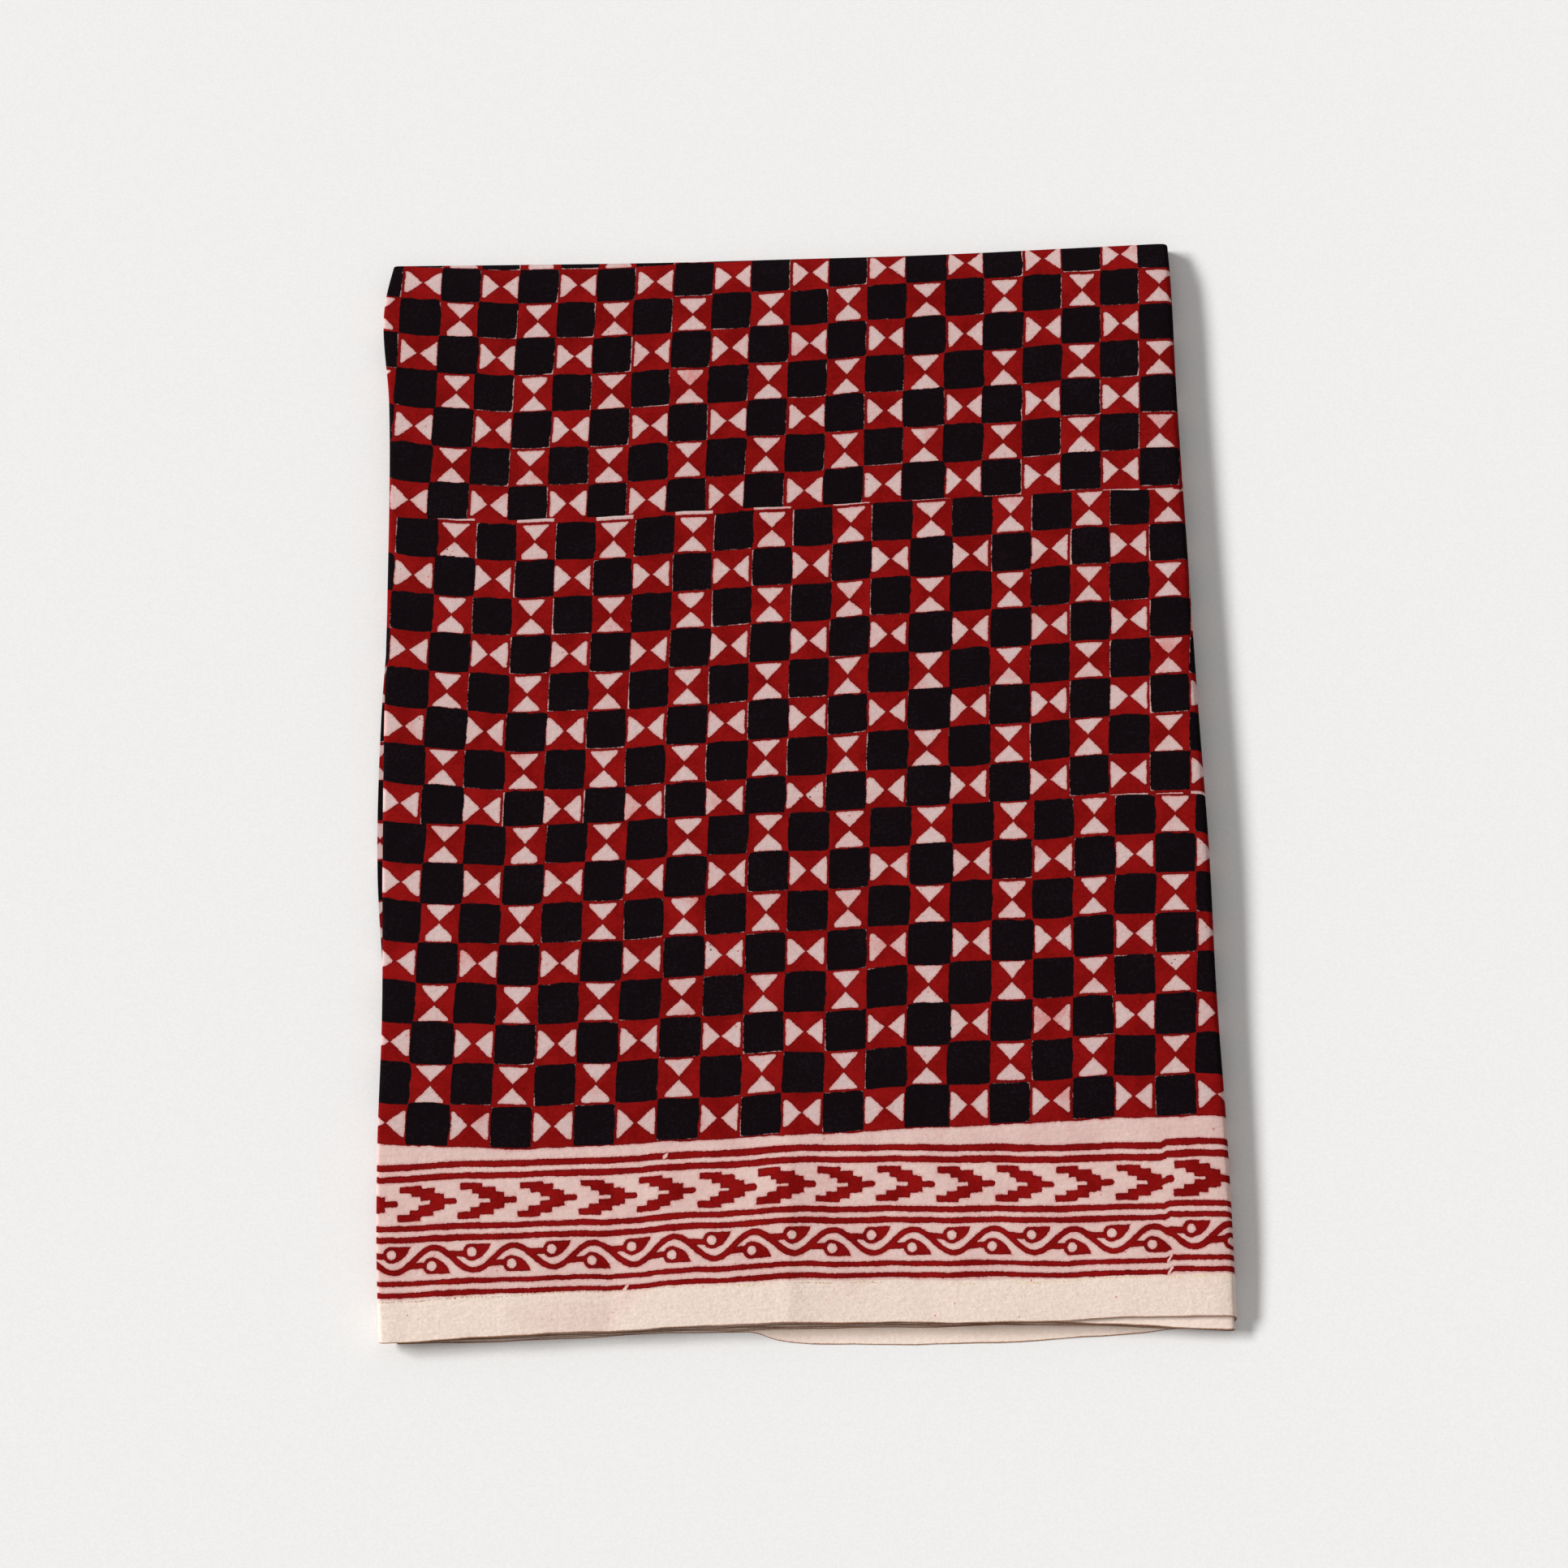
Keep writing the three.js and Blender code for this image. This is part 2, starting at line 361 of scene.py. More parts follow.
def all_stations():
    """The stations along the whole cloth, from the third run's cut end to the bottom run's."""
    stations = []
    for number, run in enumerate(RUNS):
        stations.extend(run_stations(run))
        if number + 1 < len(RUNS):
            stations.extend(turn_stations(run, RUNS[number + 1]))
    return stations


def place_row(station, offset, y):
    """The points of a station's rows, at offset from the doubled cloth's middle to its face ply."""
    start = left_of(station.run, y)
    x = start + (right_of(y) - start) * station.at + station.shift + offset * station.face_x
    return np.stack([x, y, height_over_table(x, y, station.z + offset * station.face_z)], -1)


def ply_line(station):
    """Offsets and y of the rows, from the face ply's hem over the crest to the back ply's hem."""
    face, back, crest = station.lines
    bend = crest - PLY_OFFSET - SOLID_PLY / 2
    angles = np.linspace(0, math.pi, CREST_STEPS + 1)[1:-1]
    offsets = np.concatenate([
        np.full(len(FACE_ROWS), PLY_OFFSET),
        PLY_OFFSET * np.cos(angles),
        np.full(len(BACK_ROWS), -PLY_OFFSET),
    ])
    y = np.concatenate([
        face + FACE_ROWS * (bend - face),
        bend + PLY_OFFSET * np.sin(angles),
        back + BACK_ROWS * (bend - back),
    ])
    return offsets, y


def folded_shape(stations):
    """The folded cloth's points, as (stations, rows, xyz), and their places on the flat cloth."""
    points = []
    middles = []
    for station in stations:
        offsets, y = ply_line(station)
        points.append(place_row(station, offsets, y))
        middles.append(place_row(station, 0 * offsets, y))
    points = np.array(points)
    middles = np.array(middles)
    top = [number for number, made in enumerate(stations) if made.run.name == "top" and not made.shift]
    centre = top[len(top) // 2]
    # Along the cloth: the way along the doubled cloth's middle, from the pack's centre line.
    steps = np.linalg.norm(np.diff(middles[:, :, [0, 2]], axis=0), axis=2)
    along = np.concatenate([np.zeros((1, steps.shape[1])), np.cumsum(steps, axis=0)])
    along += middles[centre, :, 0] - along[centre]
    # Across the cloth: the way along the ply, from the face ply's hem to the back ply's.
    steps = np.linalg.norm(np.diff(points[:, :, 1:], axis=1), axis=2)
    across = np.concatenate([np.zeros((len(stations), 1)), np.cumsum(steps, axis=1)], axis=1)
    past_crest = np.clip(across / across[:, -1:] * 2 - 1, 0, 1)
    across += (CUT_WIDTH - across[:, -1:]) * past_crest
    return points, np.stack([along, across], -1)


# The cloth's parts on its bake map: the printed side of the top run has the most room.
# Each has its own box, as (left, low, width, height), and a span of stations and rows.
Chart = namedtuple("Chart", "side first_station last_station first_row last_row box")
MAP_MARGIN = 0.005
LEFT_WIDTH = 0.62  # of the left column of charts, and of the strips for the cloth's edges
RIGHT = 0.635
RIGHT_WIDTH = 0.36
EDGE_STRIP = 0.004


def charts(names, rows):
    """The charts of a cloth whose stations belong to the runs of these names."""
    last_station = len(names) - 2
    last_row = rows - 2
    last_face_row = len(FACE_ROWS) + CREST_STEPS - 1
    # The top run's chart takes in the turn on its left.
    top = names.index("top") - TURN_STEPS_PER_LEVEL
    bottom = names.index("bottom")
    top_box = (MAP_MARGIN, 0.19, LEFT_WIDTH, 0.805)
    bottom_box = (RIGHT, 0.525, RIGHT_WIDTH, 0.47)
    hidden_box = (RIGHT, 0.265, RIGHT_WIDTH, 0.25)
    back_box = (RIGHT, MAP_MARGIN, RIGHT_WIDTH, 0.25)
    wrong_box = (MAP_MARGIN, 0.045, LEFT_WIDTH, 0.135)
    return [
        Chart("printed", top, bottom - 1, 0, last_face_row, top_box),
        Chart("printed", bottom, last_station, 0, last_face_row, bottom_box),
        Chart("printed", 0, top - 1, 0, last_face_row, hidden_box),
        Chart("printed", 0, last_station, last_face_row + 1, last_row, back_box),
        Chart("wrong", 0, last_station, 0, last_row, wrong_box),
    ]


def lay_out(mesh, names, station, row, flat):
    """Gives the walled cloth a map without overlaps for baking, and marks its wrong side.

    The wall keeps the printed side's points first, in their order, and then has the wrong
    side's. station, row and flat are those of the printed side's points.
    """
    rows = row.max() + 1
    corner = np.array([loop.vertex_index for loop in mesh.loops]).reshape(-1, 4)
    behind = corner >= len(station)
    corner = corner % len(station)
    station, row, flat = station[corner], row[corner], flat[corner]
    side = np.where(behind.all(1), "wrong", np.where(behind.any(1), "edge", "printed"))
    spots = np.zeros(flat.shape)
    for chart in charts(names, rows):
        inside = side == chart.side
        inside &= (station.min(1) >= chart.first_station) & (station.min(1) <= chart.last_station)
        inside &= (row.min(1) >= chart.first_row) & (row.min(1) <= chart.last_row)
        low = flat[inside].min((0, 1))
        span = flat[inside].max((0, 1)) - low
        spots[inside] = np.array(chart.box[:2]) + (flat[inside] - low) / span * chart.box[2:]
    edges = [(row, 0, 0), (row, rows - 1, 0), (station, 0, 1), (station, len(names) - 1, 1)]
    for number, (line, end, axis) in enumerate(edges):
        inside = (side == "edge") & (line == end).all(1)
        along = flat[inside][..., axis]
        along = MAP_MARGIN + (along - along.min()) / np.ptp(along) * LEFT_WIDTH
        up = MAP_MARGIN + 2 * EDGE_STRIP * number + behind[inside] * EDGE_STRIP
        spots[inside] = np.stack([along, up], -1)
    mesh.uv_layers.new(name="OFBake").data.foreach_set("uv", spots.ravel())
    marks = mesh.attributes.new("wrong_side", "FLOAT", "FACE")
    marks.data.foreach_set("value", (side == "wrong").astype(float))


def make_cloth():
    made_stations = all_stations()
    points, flat = folded_shape(made_stations)
    stations, rows = points.shape[:2]
    bpy.ops.object.select_all(action="DESELECT")
    bpy.ops.mesh.primitive_grid_add(x_subdivisions=stations - 1, y_subdivisions=rows - 1, size=2)
    cloth = bpy.context.object
    cloth.name = cloth.data.name = "printed_cotton_cloth"
    mesh = cloth.data
    corners = np.array([vertex.co[:2] for vertex in mesh.vertices])
    station = np.rint((corners[:, 0] + 1) / 2 * (stations - 1)).astype(int)
    row = np.rint((corners[:, 1] + 1) / 2 * (rows - 1)).astype(int)
    mesh.vertices.foreach_set("co", (points[station, row] * MM).ravel())
    while mesh.uv_layers:
        mesh.uv_layers.remove(mesh.uv_layers[0])
    uv = mesh.uv_layers.new(name="cloth")
    corner_vertex = np.array([loop.vertex_index for loop in mesh.loops])
    uv.data.foreach_set("uv", (flat[station, row][corner_vertex] * MM).ravel())
    wall = cloth.modifiers.new("wall", "SOLIDIFY")
    wall.thickness = THICKNESS * MM
    wall.offset = 0
    bpy.ops.object.modifier_apply(modifier=wall.name)
    bpy.ops.object.shade_smooth_by_angle(angle=math.radians(50))
    lay_out(mesh, [made.run.name for made in made_stations], station, row, flat[station, row])
    return cloth


# ---- Fields: numbers that vary over a surface, worked out by a material's nodes ---------


def add_node(tree, kind, inputs=(), **settings):
    """A new node with its settings made, and its inputs set to numbers or linked to fields."""
    made = tree.nodes.new(kind)
    for name, value in settings.items():
        setattr(made, name, value)
    for name, value in dict(inputs).items():
        if isinstance(value, Field):
            tree.links.new(value.socket, made.inputs[name])
        else:
            made.inputs[name].default_value = value
    return made


def maths(operation, *values):
    """A field worked out from fields and numbers by one Math node."""
    tree = next(value for value in values if isinstance(value, Field)).socket.id_data
    return Field(add_node(tree, "ShaderNodeMath", enumerate(values), operation=operation).outputs[0])


class Field:
    """A number, colour or place that varies over a surface: an output of one of its nodes."""

    def __init__(self, socket):
        self.socket = socket

    def __add__(self, other):
        return maths("ADD", self, other)

    def __radd__(self, other):
        return maths("ADD", self, other)

    def __sub__(self, other):
        return maths("SUBTRACT", self, other)

    def __rsub__(self, other):
        return maths("SUBTRACT", other, self)

    def __mul__(self, other):
        return maths("MULTIPLY", self, other)

    def __truediv__(self, other):
        return maths("DIVIDE", self, other)

    def __mod__(self, other):
        return maths("FLOORED_MODULO", self, other)

    def __abs__(self):
        return maths("ABSOLUTE", self)

    def floor(self):
        return maths("FLOOR", self)

    def nearest(self):
        return maths("ROUND", self)

    def fade(self, start, end):
        """0 at start and 1 at end, with a soft change between them."""
        inputs = {"Value": self, "From Min": start, "From Max": end}
        made = add_node(
            self.socket.id_data, "ShaderNodeMapRange", inputs, interpolation_type="SMOOTHSTEP"
        )
        return Field(made.outputs[0])


def largest(first, *others):
    for other in others:
        first = maths("MAXIMUM", first, other)
    return first


def smallest(first, *others):
    for other in others:
        first = maths("MINIMUM", first, other)
    return first


def rounded_largest(a, b, radius):
    return maths("SMOOTH_MAX", a, b, radius)


def rounded_smallest(a, b, radius):
    return maths("SMOOTH_MIN", a, b, radius)


def between(a, b, share):
    """a where share is 0 and b where it is 1."""
    return a + (b - a) * share


def distance_to(x, y, middle_x, middle_y):
    across = x - middle_x
    up = y - middle_y
    return maths("SQRT", across * across + up * up)


def place_of(x, y, z=0.0):
    return Field(add_node(x.socket.id_data, "ShaderNodeCombineXYZ", enumerate((x, y, z))).outputs[0])


def split(place):
    made = add_node(place.socket.id_data, "ShaderNodeSeparateXYZ", [(0, place)])
    return [Field(socket) for socket in made.outputs]


NOISE_STEP = 9.7  # each seed cuts the noise this many patches higher
NOISE_GAIN = 1.6


def noise(x, y, size, seed, detail=1.0):
    """Cloudy noise, mostly from -0.5 to 0.5, whose patches are about size across."""
    place = place_of(x, y, seed * NOISE_STEP * size)
    inputs = {"Vector": place, "Scale": 1 / size, "Detail": detail}
    made = add_node(x.socket.id_data, "ShaderNodeTexNoise", inputs)
    return (Field(made.outputs[0]) - 0.5) * NOISE_GAIN


def lots(x, y, seed):
    """Three numbers from 0 to 1 that are drawn anew for each whole x and y."""
    made = add_node(x.socket.id_data, "ShaderNodeTexWhiteNoise", {"Vector": place_of(x, y, seed)})
    return split(Field(made.outputs["Color"]))


def follow(field, points, straight=False):
    """A field read off a line through (place, value) points, level beyond its ends."""
    places, values = np.array(points, float).T
    low = values.min()
    span = np.ptp(values)
    share = (field - places[0]) / float(np.ptp(places))
    made = add_node(field.socket.id_data, "ShaderNodeFloatCurve", {"Value": share})
    made.mapping.extend = "HORIZONTAL"
    line = made.mapping.curves[0]
    spots = np.stack([(places - places[0]) / np.ptp(places), (values - low) / span], -1)
    line.points[0].location = spots[0]
    line.points[-1].location = spots[-1]
    for spot in spots[1:-1]:
        line.points.new(*spot)
    for point in line.points:
        point.handle_type = "VECTOR" if straight else "AUTO_CLAMPED"
    made.mapping.update()
    return Field(made.outputs[0]) * float(span) + float(low)


def linear_light(level):
    """The light of a screen's level from 0 to 255, by the sRGB curve."""
    share = level / 255
    return share / 12.92 if share <= 0.04045 else ((share + 0.055) / 1.055) ** 2.4


def colour(red, green, blue):
    """A screen colour as the linear colour that shaders use."""
    return (linear_light(red), linear_light(green), linear_light(blue), 1.0)


def mix_colours(share, a, b, blend_type="MIX"):
    """Colour a where share is 0 and colour b where it is 1."""
    # The node has its colours at inputs 6 and 7, and their mixture at output 2.
    inputs = [(0, share), (6, a), (7, b)]
    tree = next(value for value in (share, a, b) if isinstance(value, Field)).socket.id_data
    made = add_node(tree, "ShaderNodeMix", inputs, data_type="RGBA", blend_type=blend_type)
    return Field(made.outputs[2])


# ---- The print -------------------------------------------------------------------------

# All of it is drawn as distances in millimetres: under 0 inside the ink and over 0 outside.
# u runs along the cloth from the middle of the pack's top, and v across it from the hem.

HEM_COTTON = colour(244, 224, 210)
TINTED_HEM_COTTON = colour(238, 211, 200)
BORDER_COTTON = colour(232, 202, 194)
FIELD_COTTON = colour(214, 189, 186)
PINK_COTTON = colour(214, 172, 167)
STAINED_COTTON = colour(208, 110, 106)
RED_DYE = colour(148, 19, 18)
DEEP_RED_DYE = colour(118, 9, 8)
POOLED_RED_DYE = colour(84, 6, 8)
BLACK_DYE = colour(16, 9, 13)
GREYED_DYE = colour(25, 17, 22)
# brown of the selvedge's last threads, which also stands in for painted contact shade at the cloth's
# edge
SELVEDGE_BROWN_AND_EDGE_SHADE = colour(146, 106, 82)
THREAD_SHADE = colour(168, 164, 160)
PIN_THREAD = colour(255, 226, 158)
PIN_HOLE = colour(178, 146, 128)

HEM_BAND = 19.5  # the plain band along each selvedge
PIN_LINE = 18.9
CELL = 20.0  # a square of the check
FIRST_ROW = 99.0  # middle of the check's lowest row
CHECK_ROWS = 46
FIRST_COLUMN = -32.7  # middle of column 0
STAMP_ROWS = 8
STAMP_COLUMNS = 13
SEAM_COLUMN = -7.5  # the stamp of column 0 begins here
STAMP_GAP = 0.04  # how much too far from the one before it a stamp is set, in cells
LEAN = 1.05  # how far a stamp's columns lean to the right from row to row
# Rise of the rows along the cloth, as (u, rise): the first for all, the second added above the
# lowest row of stamps.
ROW_RISE = [
    (-205, 7.0), (-176, 3.6), (-156, 1.9), (-116, 0.0), (-36, 0.3), (84, 5.3), (124, 6.2), (205, 7.2),
]
UPPER_ROW_RISE = [
    (-205, 0.5), (-176, -0.8), (-156, -1.7), (-116, -2.3), (-76, -2.5), (4, -1.5), (124, 0.0),
    (205, 2.2),
]
# How far each row of black stamps lies off the red ones, as (row of stamps, distance).
STAMP_SLIP = [(0, 0.15), (1, 0.6), (2, -0.5), (3, 0.3), (4, -0.4), (6, 0.2)]
STAMP_RISE = [(0, 0.1), (1, 0.25), (2, 0.4), (3, -0.3), (4, 0.3), (6, -0.1)]


def check_grid(u, v):
    """Columns and rows of the check, as its stamps were set down, and the row of the stamps."""
    level = v - follow(u, ROW_RISE) - (FIRST_ROW - CELL / 2)
    stamp_row = (level / (CELL * STAMP_ROWS)).floor()
    level = level - follow(u, UPPER_ROW_RISE) * stamp_row.fade(0.2, 0.8)
    rows = level / CELL - 0.5
    lean = (rows - stamp_row * STAMP_ROWS - (STAMP_ROWS - 1) / 2) * LEAN
    # Each row of stamps starts further to the right than the one below it, but ever less so.
    stamp_start = stamp_row * 6.4 - stamp_row * stamp_row * 0.7 - 3.7
    columns = (u - FIRST_COLUMN - lean - stamp_start) / CELL
    # The gap before a stamp is taken up smoothly over the last column of the one before it.
    past_seam = (columns - SEAM_COLUMN) % STAMP_COLUMNS
    stamp_column = (columns - SEAM_COLUMN - past_seam) / STAMP_COLUMNS
    stamp_column = stamp_column + past_seam.fade(STAMP_COLUMNS - 1.0, STAMP_COLUMNS)
    return columns - stamp_column * STAMP_GAP, rows, stamp_row


def stroke(x, y, start, end, half):
    """Distance to a straight stroke with round ends, half as broad as it says to each side."""
    run = end[0] - start[0]
    rise = end[1] - start[1]
    share = ((x - start[0]) * run + (y - start[1]) * rise) / (run * run + rise * rise)
    share = largest(smallest(share, 1.0), 0.0)
    return distance_to(x - share * run, y - share * rise, *start) - half


def block(x, y, left, right, low, high, rounding):
    """Distance to a rectangle with rounded corners."""
    across = abs(x - (left + right) / 2) - (right - left) / 2
    up = abs(y - (low + high) / 2) - (high - low) / 2
    return rounded_largest(across, up, rounding)


TRIANGLE_REACH = 9.3  # from the middle of a red square to a triangle's base
TRIANGLE_START = 0.3  # from there to the triangle's point
TRIANGLE_HALF_BASE = 6.5
FRAME_OPENING = 9.45  # half the bare square that the red frame leaves for the black one
BLACK_HALF = 10.05


def red_check(columns, rows, tremble):
    """The red stamp: a frame round each black square, and two bare triangles in each red one."""
    column = columns.nearest()
    row = rows.nearest()
    x = (columns - column) * CELL
    y = (rows - row) * CELL
    upright = row % 2
    along = between(x, y, upright)
    across = abs(between(y, x, upright))
    side = maths("SIGN", along)
    # No two triangles of the stamp were carved alike, and each print of it repeats them.
    carved = lots(column % STAMP_COLUMNS, row % STAMP_ROWS, side + 3)
    length = abs(along)
    base = length - TRIANGLE_REACH + carved[0] * 0.6
    slope = 1.04 - carved[1] * 0.16 - side * 0.04
    flank = (across - slope * (length - TRIANGLE_START - carved[2] * 0.9)) * 0.72
    ends = across - TRIANGLE_HALF_BASE - carved[2] * 0.9
    triangle = rounded_largest(rounded_largest(base, flank, 0.9 + carved[1] * 0.9), ends, 1.6)
    triangle = triangle + tremble * 0.4
    opening = rounded_largest(abs(x), abs(y), 0.8) - FRAME_OPENING
    return between(triangle, opening, (column + row) % 2) * -1


def black_check(columns, rows, stamp_row):
    """The black stamp: a square in every other cell, a little beside its place in the red print."""
    x = columns - follow(stamp_row, STAMP_SLIP, True) / CELL
    y = rows - follow(stamp_row, STAMP_RISE, True) / CELL
    # Each square has the diamond round its cell to itself, so that it may reach over the cell.
    rising = x + y
    falling = x - y
    rising_middle = (rising / 2).floor() * 2 + 1
    falling_middle = (falling / 2).floor() * 2 + 1
    column = (rising_middle + falling_middle) / 2
    row = (rising_middle - falling_middle) / 2
    drawn = lots(column, row, 11)
    x = (x - column) * CELL + (drawn[0] - 0.5) * 0.6
    y = (y - row) * CELL + (drawn[1] - 0.5) * 0.6
    turn = (drawn[2] - 0.5) * 0.05
    square = rounded_largest(abs(x - y * turn), abs(y + x * turn), 1.6)
    bulge = ((x * x + y * y) / 100 - 1) * 0.3
    # Beside the seam of two stamps the squares come out broader.
    seam = abs((columns - SEAM_COLUMN) % STAMP_COLUMNS - STAMP_COLUMNS / 2) - STAMP_COLUMNS / 2
    broader = (drawn[2] - 0.5) * 0.4 + abs(seam).fade(1.4, 0.6) * 0.55
    # A square outside the check, or in another row of stamps, isn't printed.
    in_stamp = row - stamp_row * STAMP_ROWS
    outside = largest(row * -1, row - (CHECK_ROWS - 1), in_stamp * -1, in_stamp - (STAMP_ROWS - 1))
    return square + bulge - BLACK_HALF - broader + outside.fade(0.2, 0.8) * 100


# Pairs of lines: the pair's middle, each line's way from there, and half a line's breadth.
LinePair = namedtuple("LinePair", "middle spread half")
LINE_PAIRS = [LinePair(25.25, 2.75, 1.3), LinePair(51.25, 2.65, 1.48), LinePair(80.4, 2.8, 1.65)]
BORDER_BREAKS = [(173.6, 22.5), (173.4, 28.0), (-66.0, 83.2), (-86.0, 22.4)]  # as (u, v)
# Rise of the border along the cloth, as (u, rise): it sags at the left, and drops towards the
# end of a stamp at the right, where the next one starts level again.
BORDER_RISE = [
    (-200, 0), (-170, -0.4), (-139, -1.2), (-124, -1.4), (-93, -1.9), (-63, -1.6), (-32, -1.3),
    (-17, -0.8), (-2, 0), (90, 0), (105, -0.6), (135, -1.2), (151, -1.5), (172, -1.6), (175, 0),
]
BORDER_STAMP = 213.6  # length of a stamp, which begins at BORDER_START
BORDER_START = -40.0
VINE_MIDDLE = 38.7
VINE_HALF_WAVE = 19.1
VINE_START = -196.3
VINE_SWING = 5.6
STEM_HALF = 1.2  # half the breadth of the vine's stem, and of the necks from it to the buds
NECK_HALF = 1.25
BUD_DOT = (-1.1, 2.95)  # middle of a bud's dot, from the middle of its bend
CHEVRON_MIDDLE = 65.7
CHEVRON_PITCH = 28.6
CHEVRON_START = -222.0
VINE_SPREAD = 0.2  # how much further than its carved edge the dye spread
CHEVRON_SPREAD = 0.3


def vine(u, v):
    """A wavy stem with a dotted bud in each of its bends."""
    bend = ((u - VINE_START) / VINE_HALF_WAVE).nearest()
    x = u - VINE_START - bend * VINE_HALF_WAVE
    y = (v - VINE_MIDDLE) * (1 - (bend % 2) * 2)
    angle = x * (math.pi / VINE_HALF_WAVE)
    climb = maths("SINE", angle) * (VINE_SWING * math.pi / VINE_HALF_WAVE)
    above = abs(y + maths("COSINE", angle) * VINE_SWING)
    stem = above / maths("SQRT", climb * climb + 1) - STEM_HALF
    # The neck of this bend's bud, and that of the next bend's, which starts in this one.
    neck = stroke(x, y, (-12.0, 2.6), (-4.0, 2.2), NECK_HALF)
    next_neck = stroke(x, y, (VINE_HALF_WAVE - 12.0, -2.6), (VINE_HALF_WAVE - 4.0, -2.2), NECK_HALF)
    drawn = rounded_smallest(stem, smallest(neck, next_neck), 1.2)
    dot = distance_to(x, y, *BUD_DOT)
    leaf = largest(distance_to(x, y, -2.7, 9.9) - 11.0, -1.0 - x)
    bud = rounded_largest(y - 6.6, smallest(dot - 3.9, leaf), 0.5)
    return largest(rounded_smallest(drawn, bud, 0.7), 2.45 - dot)


def chevrons(u, v):
    """A row of stepped chevrons that point to the right, the lower arm a little longer."""
    y = v - CHEVRON_MIDDLE
    height = abs(y)
    number = ((u - CHEVRON_START + height * 0.45 + 0.4) / CHEVRON_PITCH).floor()
    arm = maths("SIGN", y)
    carved = lots(number, arm, 21)
    x = u - CHEVRON_START - number * CHEVRON_PITCH + (lots(number, 0, 22)[0] - 0.5) * 0.7
    reach = x - arm * 0.6
    # Each arm goes down to the body in three steps, cut a little differently each time.
    outer = block(reach, height, 0.0, 9.8 + carved[0] * 1.4, 5.5, 7.9 + carved[1] * 0.5, 1.3)
    slid = reach - carved[1] * 1.4
    middle = block(slid, height, 4.8, 15.4, 3.4, 6.1 + carved[2] * 0.6, 1.0)
    inner = block(x, height, 9.2 + carved[2] * 1.6, 19.0, 1.2, 3.9, 1.0)
    body = block(x, y, 15.0, 21.3, -3.5, 3.5, 0.8)
    tip = stroke(x, y, (20.0, 0.0), (26.2, 0.1), 1.2)
    arms = rounded_smallest(rounded_smallest(outer, middle, 1.2), inner, 1.2)
    return rounded_smallest(rounded_smallest(arms, body, 1.0), tip, 0.8)


def border(u, v, thicker, tremble):
    """Three pairs of lines, with the vine between the lower two and the chevrons over it."""
    v = v - follow(u, BORDER_RISE, True)
    # The start of each stamp took more dye.
    in_stamp = (u - BORDER_START) % BORDER_STAMP
    fuller = in_stamp.fade(52, 34) * 0.5
    pairs = [abs(abs(v - pair.middle) - pair.spread) - pair.half for pair in LINE_PAIRS]
    lines = smallest(*pairs) - thicker * 0.5
    for break_u, break_v in BORDER_BREAKS:
        up = v - break_v
        slanted = (u - break_u - up * 0.6) * 2.0
        lines = largest(lines, 1.9 + tremble * 1.5 - distance_to(slanted, up, 0.0, 0.0))
    stems = vine(u, v) - fuller * 0.3 - VINE_SPREAD
    arrows = chevrons(u, v) - fuller * 0.6 - CHEVRON_SPREAD
    return smallest(lines, stems, arrows) + tremble * 0.36


def specks(u, v, spacing, share, size, seed):
    """Distance to droplets of dye, at most size across, one in a share of a grid's squares."""
    column = (u / spacing).nearest()
    row = (v / spacing).nearest()
    drawn = lots(column, row, seed)
    x = u - (column + (drawn[0] - 0.5) * 0.7) * spacing
    y = v - (row + (drawn[1] - 0.5) * 0.7) * spacing
    return distance_to(x, y, 0.0, 0.0) - (drawn[2] - (1 - share)) / share * (size / 2)


THREAD = 0.45  # from one thread of the cotton to the next
BUMP_HEIGHT = 0.12


def weave(u, v):
    """Height of the plain weave: 0 between the threads, and 1 where one crosses another."""
    return abs(maths("COSINE", u * (math.pi / THREAD)) * maths("COSINE", v * (math.pi / THREAD)))


# The noises that every layer of the material shares, each from about -0.5 to 0.5.
# swing, sway: the unsteady placing of the stamps along and across the cloth. thicker, wobble,
# tremble: the carving. creep: the dye's way along the threads. patches, mottle: how much dye
# the cotton took. grain, slubs: single threads, and their thick places.
Clouds = namedtuple("Clouds", "swing sway thicker wobble tremble creep patches mottle grain slubs")


def make_clouds(u, v):
    long_slubs = noise(u * 0.07, v, size=0.8, seed=12)
    cross_slubs = noise(u, v * 0.12, size=0.8, seed=13)
    return Clouds(
        swing=noise(u, v, size=45, seed=1),
        sway=noise(u, v, size=45, seed=2),
        thicker=noise(u, v, size=20, seed=8),
        wobble=noise(u, v, size=7, seed=3, detail=2),
        tremble=noise(u, v, size=2.6, seed=9),
        creep=noise(u, v, size=0.9, seed=4, detail=2),
        patches=noise(u, v, size=14, seed=5, detail=3),
        mottle=noise(u, v, size=1.4, seed=6, detail=2),
        grain=noise(u, v, size=0.5, seed=7),
        slubs=long_slubs + cross_slubs * 0.35,
    )


def bare_cotton(clouds, from_hem, in_field):
    """Cotton without ink: cream at the hem, and tinted by washed-out dye where it was printed."""
    tinted = mix_colours(in_field, BORDER_COTTON, FIELD_COTTON)
    pinker = (clouds.patches + clouds.mottle * 0.6 + 0.4).fade(0, 1) * 0.7
    tinted = mix_colours(pinker, tinted, PINK_COTTON)
    stronger = (clouds.swing + clouds.patches * 0.7).fade(-0.1, 0.5) * 0.8
    plain = mix_colours(stronger, HEM_COTTON, TINTED_HEM_COTTON)
    band_edge = from_hem + clouds.creep * 0.8 + clouds.wobble
    return mix_colours(band_edge.fade(HEM_BAND + 1.2, HEM_BAND - 0.2), tinted, plain)


